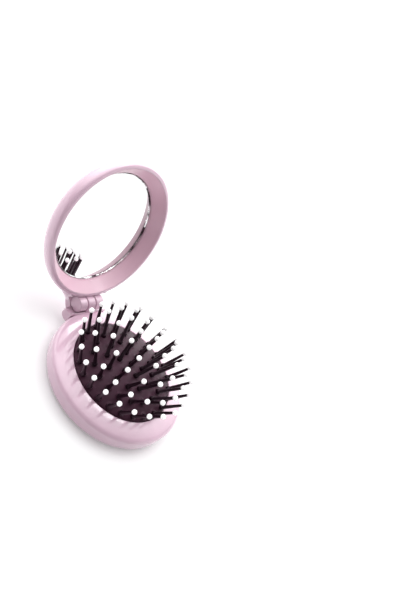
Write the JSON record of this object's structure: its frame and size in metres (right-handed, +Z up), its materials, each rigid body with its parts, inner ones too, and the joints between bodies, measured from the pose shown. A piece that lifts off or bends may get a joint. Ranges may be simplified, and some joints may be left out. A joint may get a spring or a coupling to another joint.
{
  "type": "folding hairbrush with mirror",
  "caption": "Round pocket hairbrush that folds: ball-tipped pins in a rubber dome that pops in and out of a ring, and a hinged lid with a mirror.",
  "frame": {"origin": "centre of the finger opening, in the plane of the back ring's flat face", "axes": "+Z up out of the brush side along the pad's axis, +Y from the pad to the hinge, +X along the hinge"},
  "size_m": [0.066, 0.1043, 0.0718],
  "materials": {
    "shell_plastic": "gloss, pale pink",
    "back_plastic": "satin gloss, pale pink",
    "bezel_plastic": "satin gloss, dusty pink",
    "pad_rubber": "satin, dark plum",
    "pin_plastic": "gloss near-black plum, with white dipped ball tips",
    "steel": "drawn wire",
    "mirror_glass": "silvered glass",
    "foam_tape": "matt foam"
  },
  "bodies": {
    "base": {"base_shell": "shell_plastic", "back_ring": "back_plastic", "rubber_pad": "pad_rubber"},
    "lid": {"lid_shell": "shell_plastic", "mirror_bezel": "bezel_plastic", "mirror": "mirror_glass", "mirror_tape": "foam_tape", "hinge_pin": "steel"},
    "pin_centre": {"pin_centre": "pin_plastic"},
    "pin_row1_1": {"pin_row1_1": "pin_plastic"},
    "pin_row1_2": {"pin_row1_2": "pin_plastic"},
    "pin_row1_3": {"pin_row1_3": "pin_plastic"},
    "pin_row1_4": {"pin_row1_4": "pin_plastic"},
    "pin_row1_5": {"pin_row1_5": "pin_plastic"},
    "pin_row1_6": {"pin_row1_6": "pin_plastic"},
    "pin_row2_1": {"pin_row2_1": "pin_plastic"},
    "pin_row2_2": {"pin_row2_2": "pin_plastic"},
    "pin_row2_3": {"pin_row2_3": "pin_plastic"},
    "pin_row2_4": {"pin_row2_4": "pin_plastic"},
    "pin_row2_5": {"pin_row2_5": "pin_plastic"},
    "pin_row2_6": {"pin_row2_6": "pin_plastic"},
    "pin_row2_7": {"pin_row2_7": "pin_plastic"},
    "pin_row2_8": {"pin_row2_8": "pin_plastic"},
    "pin_row2_9": {"pin_row2_9": "pin_plastic"},
    "pin_row2_10": {"pin_row2_10": "pin_plastic"},
    "pin_row2_11": {"pin_row2_11": "pin_plastic"},
    "pin_row2_12": {"pin_row2_12": "pin_plastic"},
    "pin_row3_1": {"pin_row3_1": "pin_plastic"},
    "pin_row3_2": {"pin_row3_2": "pin_plastic"},
    "pin_row3_3": {"pin_row3_3": "pin_plastic"},
    "pin_row3_4": {"pin_row3_4": "pin_plastic"},
    "pin_row3_5": {"pin_row3_5": "pin_plastic"},
    "pin_row3_6": {"pin_row3_6": "pin_plastic"},
    "pin_row3_7": {"pin_row3_7": "pin_plastic"},
    "pin_row3_8": {"pin_row3_8": "pin_plastic"},
    "pin_row3_9": {"pin_row3_9": "pin_plastic"},
    "pin_row3_10": {"pin_row3_10": "pin_plastic"},
    "pin_row3_11": {"pin_row3_11": "pin_plastic"},
    "pin_row3_12": {"pin_row3_12": "pin_plastic"},
    "pin_row3_13": {"pin_row3_13": "pin_plastic"},
    "pin_row3_14": {"pin_row3_14": "pin_plastic"},
    "pin_row3_15": {"pin_row3_15": "pin_plastic"},
    "pin_row3_16": {"pin_row3_16": "pin_plastic"},
    "pin_row3_17": {"pin_row3_17": "pin_plastic"},
    "pin_row3_18": {"pin_row3_18": "pin_plastic"},
    "pin_row4_pair_1": {"pin_row4_pair_1": "pin_plastic"},
    "pin_row4_pair_2": {"pin_row4_pair_2": "pin_plastic"},
    "pin_row4_pair_3": {"pin_row4_pair_3": "pin_plastic"},
    "pin_row4_pair_4": {"pin_row4_pair_4": "pin_plastic"},
    "pin_row4_pair_5": {"pin_row4_pair_5": "pin_plastic"},
    "pin_row4_pair_6": {"pin_row4_pair_6": "pin_plastic"},
    "pin_row4_pair_7": {"pin_row4_pair_7": "pin_plastic"},
    "pin_row4_pair_8": {"pin_row4_pair_8": "pin_plastic"},
    "pin_row4_pair_9": {"pin_row4_pair_9": "pin_plastic"},
    "pin_row4_pair_10": {"pin_row4_pair_10": "pin_plastic"},
    "pin_row4_pair_11": {"pin_row4_pair_11": "pin_plastic"},
    "pin_row4_pair_12": {"pin_row4_pair_12": "pin_plastic"}
  },
  "joints": [
    {"name": "lid_hinge", "type": "hinge", "parent": "base", "child": "lid", "pos_m": [0, 0.0357, 0.0104], "axis": [1, 0, 0], "range_deg": [0, 115.5]},
    {"name": "pad_press", "type": "slide", "parent": "base", "child": "pin_centre", "axis": [0, 0, -1], "range_m": [0, 0.0236], "deforming": ["rubber_pad"]},
    {"name": "pin_row1_1_press", "type": "hinge", "parent": "base", "child": "pin_row1_1", "pos_m": [0.00834, 0.09528, 0.00511], "axis": [0.9962, -0.0872, 0], "range_deg": [0, 14.9]},
    {"name": "pin_row1_2_press", "type": "hinge", "parent": "base", "child": "pin_row1_2", "pos_m": [-0.07835, 0.05486, 0.00511], "axis": [0.5736, 0.8192, 0], "range_deg": [0, 14.9]},
    {"name": "pin_row1_3_press", "type": "hinge", "parent": "base", "child": "pin_row1_3", "pos_m": [-0.08668, -0.04042, 0.00511], "axis": [-0.4226, 0.9063, 0], "range_deg": [0, 14.9]},
    {"name": "pin_row1_4_press", "type": "hinge", "parent": "base", "child": "pin_row1_4", "pos_m": [-0.00834, -0.09528, 0.00511], "axis": [-0.9962, 0.0872, 0], "range_deg": [0, 14.9]},
    {"name": "pin_row1_5_press", "type": "hinge", "parent": "base", "child": "pin_row1_5", "pos_m": [0.07835, -0.05486, 0.00511], "axis": [-0.5736, -0.8192, 0], "range_deg": [0, 14.9]},
    {"name": "pin_row1_6_press", "type": "hinge", "parent": "base", "child": "pin_row1_6", "pos_m": [0.08668, 0.04042, 0.00511], "axis": [0.4226, -0.9063, 0], "range_deg": [0, 14.9]},
    {"name": "pin_row2_1_press", "type": "hinge", "parent": "base", "child": "pin_row2_1", "pos_m": [0.03127, 0.04466, 0.0045], "axis": [0.8192, -0.5736, 0], "range_deg": [0, 29.5]},
    {"name": "pin_row2_2_press", "type": "hinge", "parent": "base", "child": "pin_row2_2", "pos_m": [0.00475, 0.05431, 0.0045], "axis": [0.9962, -0.0872, 0], "range_deg": [0, 29.5]},
    {"name": "pin_row2_3_press", "type": "hinge", "parent": "base", "child": "pin_row2_3", "pos_m": [-0.02304, 0.04941, 0.0045], "axis": [0.9063, 0.4226, 0], "range_deg": [0, 29.5]},
    {"name": "pin_row2_4_press", "type": "hinge", "parent": "base", "child": "pin_row2_4", "pos_m": [-0.04466, 0.03127, 0.0045], "axis": [0.5736, 0.8192, 0], "range_deg": [0, 29.5]},
    {"name": "pin_row2_5_press", "type": "hinge", "parent": "base", "child": "pin_row2_5", "pos_m": [-0.05431, 0.00475, 0.0045], "axis": [0.0872, 0.9962, 0], "range_deg": [0, 29.5]},
    {"name": "pin_row2_6_press", "type": "hinge", "parent": "base", "child": "pin_row2_6", "pos_m": [-0.04941, -0.02304, 0.0045], "axis": [-0.4226, 0.9063, 0], "range_deg": [0, 29.5]},
    {"name": "pin_row2_7_press", "type": "hinge", "parent": "base", "child": "pin_row2_7", "pos_m": [-0.03127, -0.04466, 0.0045], "axis": [-0.8192, 0.5736, 0], "range_deg": [0, 29.5]},
    {"name": "pin_row2_8_press", "type": "hinge", "parent": "base", "child": "pin_row2_8", "pos_m": [-0.00475, -0.05431, 0.0045], "axis": [-0.9962, 0.0872, 0], "range_deg": [0, 29.5]},
    {"name": "pin_row2_9_press", "type": "hinge", "parent": "base", "child": "pin_row2_9", "pos_m": [0.02304, -0.04941, 0.0045], "axis": [-0.9063, -0.4226, 0], "range_deg": [0, 29.5]},
    {"name": "pin_row2_10_press", "type": "hinge", "parent": "base", "child": "pin_row2_10", "pos_m": [0.04466, -0.03127, 0.0045], "axis": [-0.5736, -0.8192, 0], "range_deg": [0, 29.5]},
    {"name": "pin_row2_11_press", "type": "hinge", "parent": "base", "child": "pin_row2_11", "pos_m": [0.05431, -0.00475, 0.0045], "axis": [-0.0872, -0.9962, 0], "range_deg": [0, 29.5]},
    {"name": "pin_row2_12_press", "type": "hinge", "parent": "base", "child": "pin_row2_12", "pos_m": [0.04941, 0.02304, 0.0045], "axis": [0.4226, -0.9063, 0], "range_deg": [0, 29.5]},
    {"name": "pin_row3_1_press", "type": "hinge", "parent": "base", "child": "pin_row3_1", "pos_m": [0.03024, 0.03024, 0.0043], "axis": [0.7071, -0.7071, 0], "range_deg": [0, 41.9]},
    {"name": "pin_row3_2_press", "type": "hinge", "parent": "base", "child": "pin_row3_2", "pos_m": [0.01808, 0.03877, 0.0043], "axis": [0.9063, -0.4226, 0], "range_deg": [0, 41.9]},
    {"name": "pin_row3_3_press", "type": "hinge", "parent": "base", "child": "pin_row3_3", "pos_m": [0.00373, 0.04261, 0.0043], "axis": [0.9962, -0.0872, 0], "range_deg": [0, 41.9]},
    {"name": "pin_row3_4_press", "type": "hinge", "parent": "base", "child": "pin_row3_4", "pos_m": [-0.01107, 0.04132, 0.0043], "axis": [0.9659, 0.2588, 0], "range_deg": [0, 41.9]},
    {"name": "pin_row3_5_press", "type": "hinge", "parent": "base", "child": "pin_row3_5", "pos_m": [-0.02453, 0.03504, 0.0043], "axis": [0.8192, 0.5736, 0], "range_deg": [0, 41.9]},
    {"name": "pin_row3_6_press", "type": "hinge", "parent": "base", "child": "pin_row3_6", "pos_m": [-0.03504, 0.02453, 0.0043], "axis": [0.5736, 0.8192, 0], "range_deg": [0, 41.9]},
    {"name": "pin_row3_7_press", "type": "hinge", "parent": "base", "child": "pin_row3_7", "pos_m": [-0.04132, 0.01107, 0.0043], "axis": [0.2588, 0.9659, 0], "range_deg": [0, 41.9]},
    {"name": "pin_row3_8_press", "type": "hinge", "parent": "base", "child": "pin_row3_8", "pos_m": [-0.04261, -0.00373, 0.0043], "axis": [-0.0872, 0.9962, 0], "range_deg": [0, 41.9]},
    {"name": "pin_row3_9_press", "type": "hinge", "parent": "base", "child": "pin_row3_9", "pos_m": [-0.03877, -0.01808, 0.0043], "axis": [-0.4226, 0.9063, 0], "range_deg": [0, 41.9]},
    {"name": "pin_row3_10_press", "type": "hinge", "parent": "base", "child": "pin_row3_10", "pos_m": [-0.03024, -0.03024, 0.0043], "axis": [-0.7071, 0.7071, 0], "range_deg": [0, 41.9]},
    {"name": "pin_row3_11_press", "type": "hinge", "parent": "base", "child": "pin_row3_11", "pos_m": [-0.01808, -0.03877, 0.0043], "axis": [-0.9063, 0.4226, 0], "range_deg": [0, 41.9]},
    {"name": "pin_row3_12_press", "type": "hinge", "parent": "base", "child": "pin_row3_12", "pos_m": [-0.00373, -0.04261, 0.0043], "axis": [-0.9962, 0.0872, 0], "range_deg": [0, 41.9]},
    {"name": "pin_row3_13_press", "type": "hinge", "parent": "base", "child": "pin_row3_13", "pos_m": [0.01107, -0.04132, 0.0043], "axis": [-0.9659, -0.2588, 0], "range_deg": [0, 41.9]},
    {"name": "pin_row3_14_press", "type": "hinge", "parent": "base", "child": "pin_row3_14", "pos_m": [0.02453, -0.03504, 0.0043], "axis": [-0.8192, -0.5736, 0], "range_deg": [0, 41.9]},
    {"name": "pin_row3_15_press", "type": "hinge", "parent": "base", "child": "pin_row3_15", "pos_m": [0.03504, -0.02453, 0.0043], "axis": [-0.5736, -0.8192, 0], "range_deg": [0, 41.9]},
    {"name": "pin_row3_16_press", "type": "hinge", "parent": "base", "child": "pin_row3_16", "pos_m": [0.04132, -0.01107, 0.0043], "axis": [-0.2588, -0.9659, 0], "range_deg": [0, 41.9]},
    {"name": "pin_row3_17_press", "type": "hinge", "parent": "base", "child": "pin_row3_17", "pos_m": [0.04261, 0.00373, 0.0043], "axis": [0.0872, -0.9962, 0], "range_deg": [0, 41.9]},
    {"name": "pin_row3_18_press", "type": "hinge", "parent": "base", "child": "pin_row3_18", "pos_m": [0.03877, 0.01808, 0.0043], "axis": [0.4226, -0.9063, 0], "range_deg": [0, 41.9]},
    {"name": "pin_row4_pair_1_press", "type": "hinge", "parent": "base", "child": "pin_row4_pair_1", "pos_m": [0.03356, 0.02138, 0.00515], "axis": [0.5373, -0.8434, 0], "range_deg": [0, 41.4]},
    {"name": "pin_row4_pair_2_press", "type": "hinge", "parent": "base", "child": "pin_row4_pair_2", "pos_m": [0.01837, 0.0353, 0.00515], "axis": [0.887, -0.4617, 0], "range_deg": [0, 41.4]},
    {"name": "pin_row4_pair_3_press", "type": "hinge", "parent": "base", "child": "pin_row4_pair_3", "pos_m": [-0.00174, 0.03976, 0.00515], "axis": [0.999, 0.0436, 0], "range_deg": [0, 41.4]},
    {"name": "pin_row4_pair_4_press", "type": "hinge", "parent": "base", "child": "pin_row4_pair_4", "pos_m": [-0.02138, 0.03356, 0.00515], "axis": [0.8434, 0.5373, 0], "range_deg": [0, 41.4]},
    {"name": "pin_row4_pair_5_press", "type": "hinge", "parent": "base", "child": "pin_row4_pair_5", "pos_m": [-0.0353, 0.01837, 0.00515], "axis": [0.4617, 0.887, 0], "range_deg": [0, 41.4]},
    {"name": "pin_row4_pair_6_press", "type": "hinge", "parent": "base", "child": "pin_row4_pair_6", "pos_m": [-0.03976, -0.00174, 0.00515], "axis": [-0.0436, 0.999, 0], "range_deg": [0, 41.4]},
    {"name": "pin_row4_pair_7_press", "type": "hinge", "parent": "base", "child": "pin_row4_pair_7", "pos_m": [-0.03356, -0.02138, 0.00515], "axis": [-0.5373, 0.8434, 0], "range_deg": [0, 41.4]},
    {"name": "pin_row4_pair_8_press", "type": "hinge", "parent": "base", "child": "pin_row4_pair_8", "pos_m": [-0.01837, -0.0353, 0.00515], "axis": [-0.887, 0.4617, 0], "range_deg": [0, 41.4]},
    {"name": "pin_row4_pair_9_press", "type": "hinge", "parent": "base", "child": "pin_row4_pair_9", "pos_m": [0.00174, -0.03976, 0.00515], "axis": [-0.999, -0.0436, 0], "range_deg": [0, 41.4]},
    {"name": "pin_row4_pair_10_press", "type": "hinge", "parent": "base", "child": "pin_row4_pair_10", "pos_m": [0.02138, -0.03356, 0.00515], "axis": [-0.8434, -0.5373, 0], "range_deg": [0, 41.4]},
    {"name": "pin_row4_pair_11_press", "type": "hinge", "parent": "base", "child": "pin_row4_pair_11", "pos_m": [0.0353, -0.01837, 0.00515], "axis": [-0.4617, -0.887, 0], "range_deg": [0, 41.4]},
    {"name": "pin_row4_pair_12_press", "type": "hinge", "parent": "base", "child": "pin_row4_pair_12", "pos_m": [0.03976, 0.00174, 0.00515], "axis": [0.0436, -0.999, 0], "range_deg": [0, 41.4]}
  ],
  "couplings": [
    {"joint": "pad_press", "follows": "lid_hinge", "m_per_rad": 0.011707},
    {"joint": "pin_row1_1_press", "follows": "lid_hinge", "ratio": 0.129},
    {"joint": "pin_row1_2_press", "follows": "lid_hinge", "ratio": 0.129},
    {"joint": "pin_row1_3_press", "follows": "lid_hinge", "ratio": 0.129},
    {"joint": "pin_row1_4_press", "follows": "lid_hinge", "ratio": 0.129},
    {"joint": "pin_row1_5_press", "follows": "lid_hinge", "ratio": 0.129},
    {"joint": "pin_row1_6_press", "follows": "lid_hinge", "ratio": 0.129},
    {"joint": "pin_row2_1_press", "follows": "lid_hinge", "ratio": 0.25541},
    {"joint": "pin_row2_2_press", "follows": "lid_hinge", "ratio": 0.25541},
    {"joint": "pin_row2_3_press", "follows": "lid_hinge", "ratio": 0.25541},
    {"joint": "pin_row2_4_press", "follows": "lid_hinge", "ratio": 0.25541},
    {"joint": "pin_row2_5_press", "follows": "lid_hinge", "ratio": 0.25541},
    {"joint": "pin_row2_6_press", "follows": "lid_hinge", "ratio": 0.25541},
    {"joint": "pin_row2_7_press", "follows": "lid_hinge", "ratio": 0.25541},
    {"joint": "pin_row2_8_press", "follows": "lid_hinge", "ratio": 0.25541},
    {"joint": "pin_row2_9_press", "follows": "lid_hinge", "ratio": 0.25541},
    {"joint": "pin_row2_10_press", "follows": "lid_hinge", "ratio": 0.25541},
    {"joint": "pin_row2_11_press", "follows": "lid_hinge", "ratio": 0.25541},
    {"joint": "pin_row2_12_press", "follows": "lid_hinge", "ratio": 0.25541},
    {"joint": "pin_row3_1_press", "follows": "lid_hinge", "ratio": 0.36277},
    {"joint": "pin_row3_2_press", "follows": "lid_hinge", "ratio": 0.36277},
    {"joint": "pin_row3_3_press", "follows": "lid_hinge", "ratio": 0.36277},
    {"joint": "pin_row3_4_press", "follows": "lid_hinge", "ratio": 0.36277},
    {"joint": "pin_row3_5_press", "follows": "lid_hinge", "ratio": 0.36277},
    {"joint": "pin_row3_6_press", "follows": "lid_hinge", "ratio": 0.36277},
    {"joint": "pin_row3_7_press", "follows": "lid_hinge", "ratio": 0.36277},
    {"joint": "pin_row3_8_press", "follows": "lid_hinge", "ratio": 0.36277},
    {"joint": "pin_row3_9_press", "follows": "lid_hinge", "ratio": 0.36277},
    {"joint": "pin_row3_10_press", "follows": "lid_hinge", "ratio": 0.36277},
    {"joint": "pin_row3_11_press", "follows": "lid_hinge", "ratio": 0.36277},
    {"joint": "pin_row3_12_press", "follows": "lid_hinge", "ratio": 0.36277},
    {"joint": "pin_row3_13_press", "follows": "lid_hinge", "ratio": 0.36277},
    {"joint": "pin_row3_14_press", "follows": "lid_hinge", "ratio": 0.36277},
    {"joint": "pin_row3_15_press", "follows": "lid_hinge", "ratio": 0.36277},
    {"joint": "pin_row3_16_press", "follows": "lid_hinge", "ratio": 0.36277},
    {"joint": "pin_row3_17_press", "follows": "lid_hinge", "ratio": 0.36277},
    {"joint": "pin_row3_18_press", "follows": "lid_hinge", "ratio": 0.36277},
    {"joint": "pin_row4_pair_1_press", "follows": "lid_hinge", "ratio": 0.35844},
    {"joint": "pin_row4_pair_2_press", "follows": "lid_hinge", "ratio": 0.35844},
    {"joint": "pin_row4_pair_3_press", "follows": "lid_hinge", "ratio": 0.35844},
    {"joint": "pin_row4_pair_4_press", "follows": "lid_hinge", "ratio": 0.35844},
    {"joint": "pin_row4_pair_5_press", "follows": "lid_hinge", "ratio": 0.35844},
    {"joint": "pin_row4_pair_6_press", "follows": "lid_hinge", "ratio": 0.35844},
    {"joint": "pin_row4_pair_7_press", "follows": "lid_hinge", "ratio": 0.35844},
    {"joint": "pin_row4_pair_8_press", "follows": "lid_hinge", "ratio": 0.35844},
    {"joint": "pin_row4_pair_9_press", "follows": "lid_hinge", "ratio": 0.35844},
    {"joint": "pin_row4_pair_10_press", "follows": "lid_hinge", "ratio": 0.35844},
    {"joint": "pin_row4_pair_11_press", "follows": "lid_hinge", "ratio": 0.35844},
    {"joint": "pin_row4_pair_12_press", "follows": "lid_hinge", "ratio": 0.35844}
  ]
}
